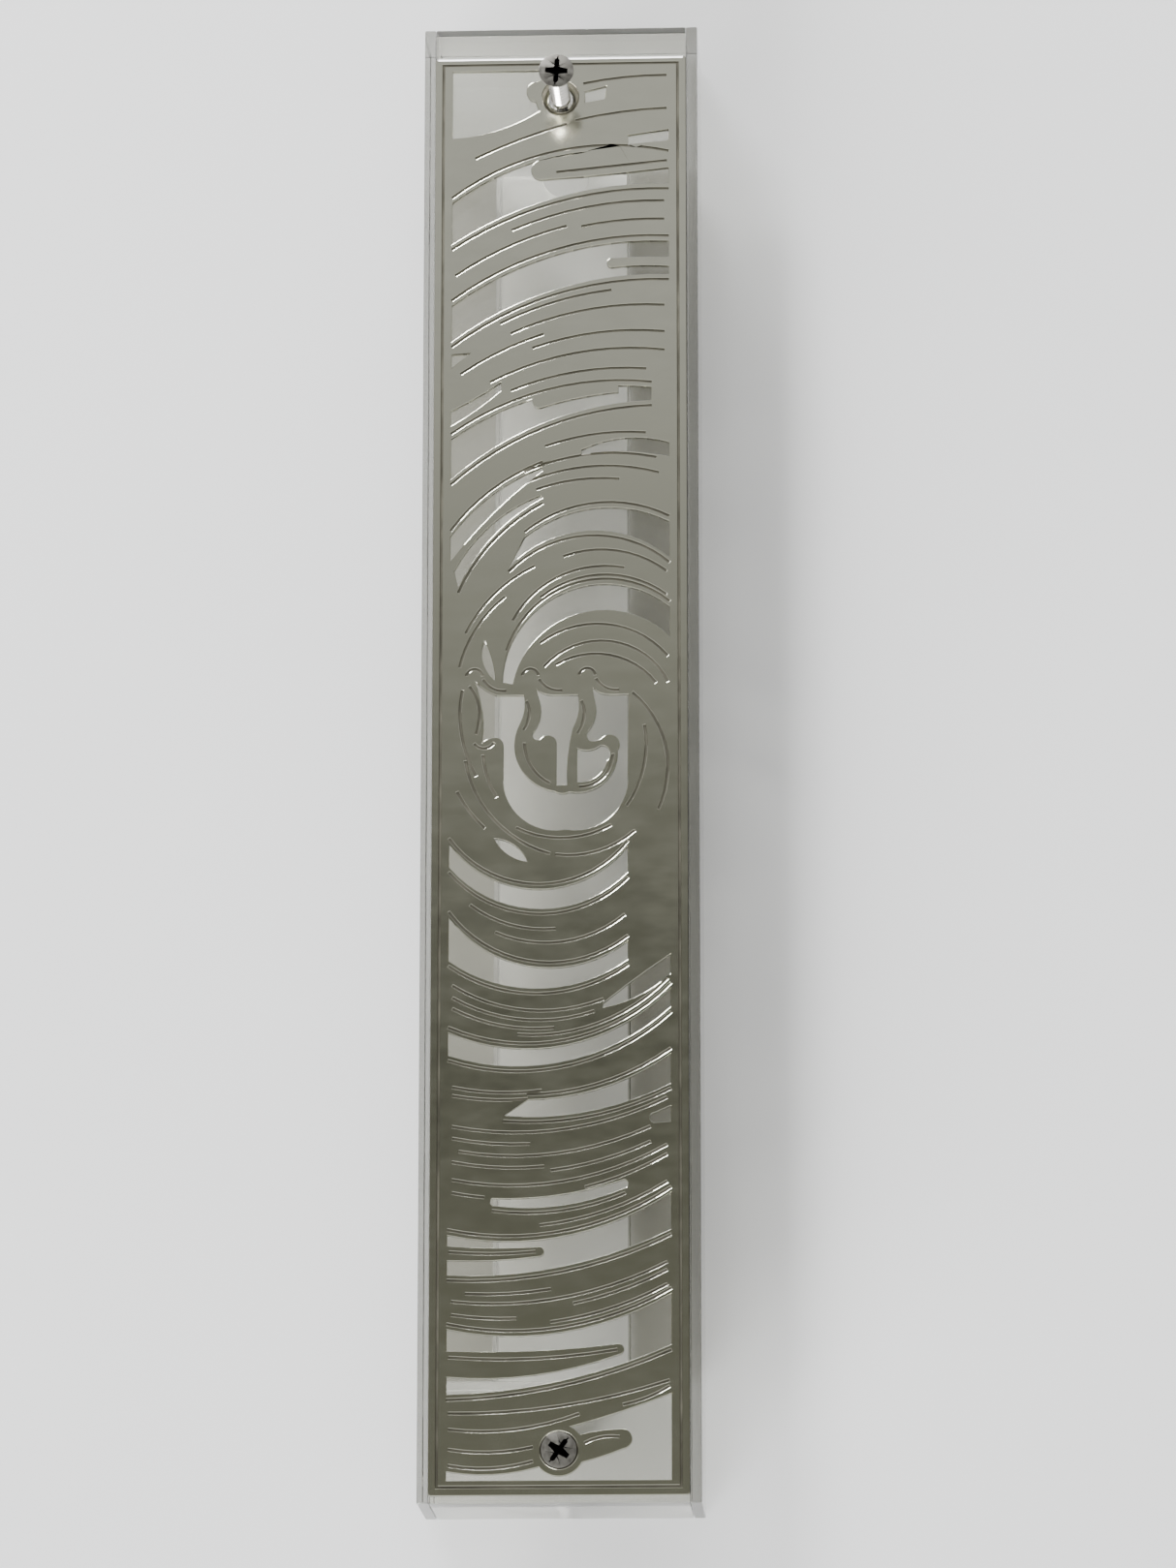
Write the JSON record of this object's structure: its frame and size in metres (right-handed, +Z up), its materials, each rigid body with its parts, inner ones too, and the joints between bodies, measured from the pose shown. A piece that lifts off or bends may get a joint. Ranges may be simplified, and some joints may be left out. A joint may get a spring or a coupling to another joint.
{
  "type": "mezuzah case",
  "caption": "Upright clear acrylic mezuzah case with a pierced swirl-pattern metal face plate, a scroll channel with a lift-off back cover, and countersunk fixing screws.",
  "frame": {"origin": "centre of the back face, where the case lies against the doorpost", "axes": "+Z up along the case, +Y into the doorpost, so the decorated plate faces -Y, +X to the right of someone facing the plate"},
  "size_m": [0.0284, 0.0285, 0.154],
  "materials": {
    "clear_acrylic": "polished, clear",
    "frosted_acrylic": "frosted, translucent",
    "plate_metal": "nickel-plated, semi-polished, engraved",
    "screw_steel": "nickel-plated"
  },
  "bodies": {
    "case": {"front_panel": "clear_acrylic", "left_side_wall": "clear_acrylic", "right_side_wall": "clear_acrylic", "left_rail": "clear_acrylic", "right_rail": "clear_acrylic", "top_block": "clear_acrylic", "bottom_block": "clear_acrylic", "face_plate": "plate_metal"},
    "back_cover": {"back_cover": "frosted_acrylic"},
    "top_screw": {"top_screw": "screw_steel"},
    "bottom_screw": {"bottom_screw": "screw_steel"}
  },
  "joints": [
    {"name": "top_screw_travel", "type": "slide", "parent": "case", "child": "top_screw", "axis": [0, -1, 0], "range_m": [-0.0085, 0.012]},
    {"name": "bottom_screw_travel", "type": "slide", "parent": "case", "child": "bottom_screw", "axis": [0, -1, 0], "range_m": [0, 0.0205]},
    {"name": "cover_lift_off", "type": "slide", "parent": "case", "child": "back_cover", "axis": [0, 1, 0], "range_m": [0, 0.02]}
  ]
}
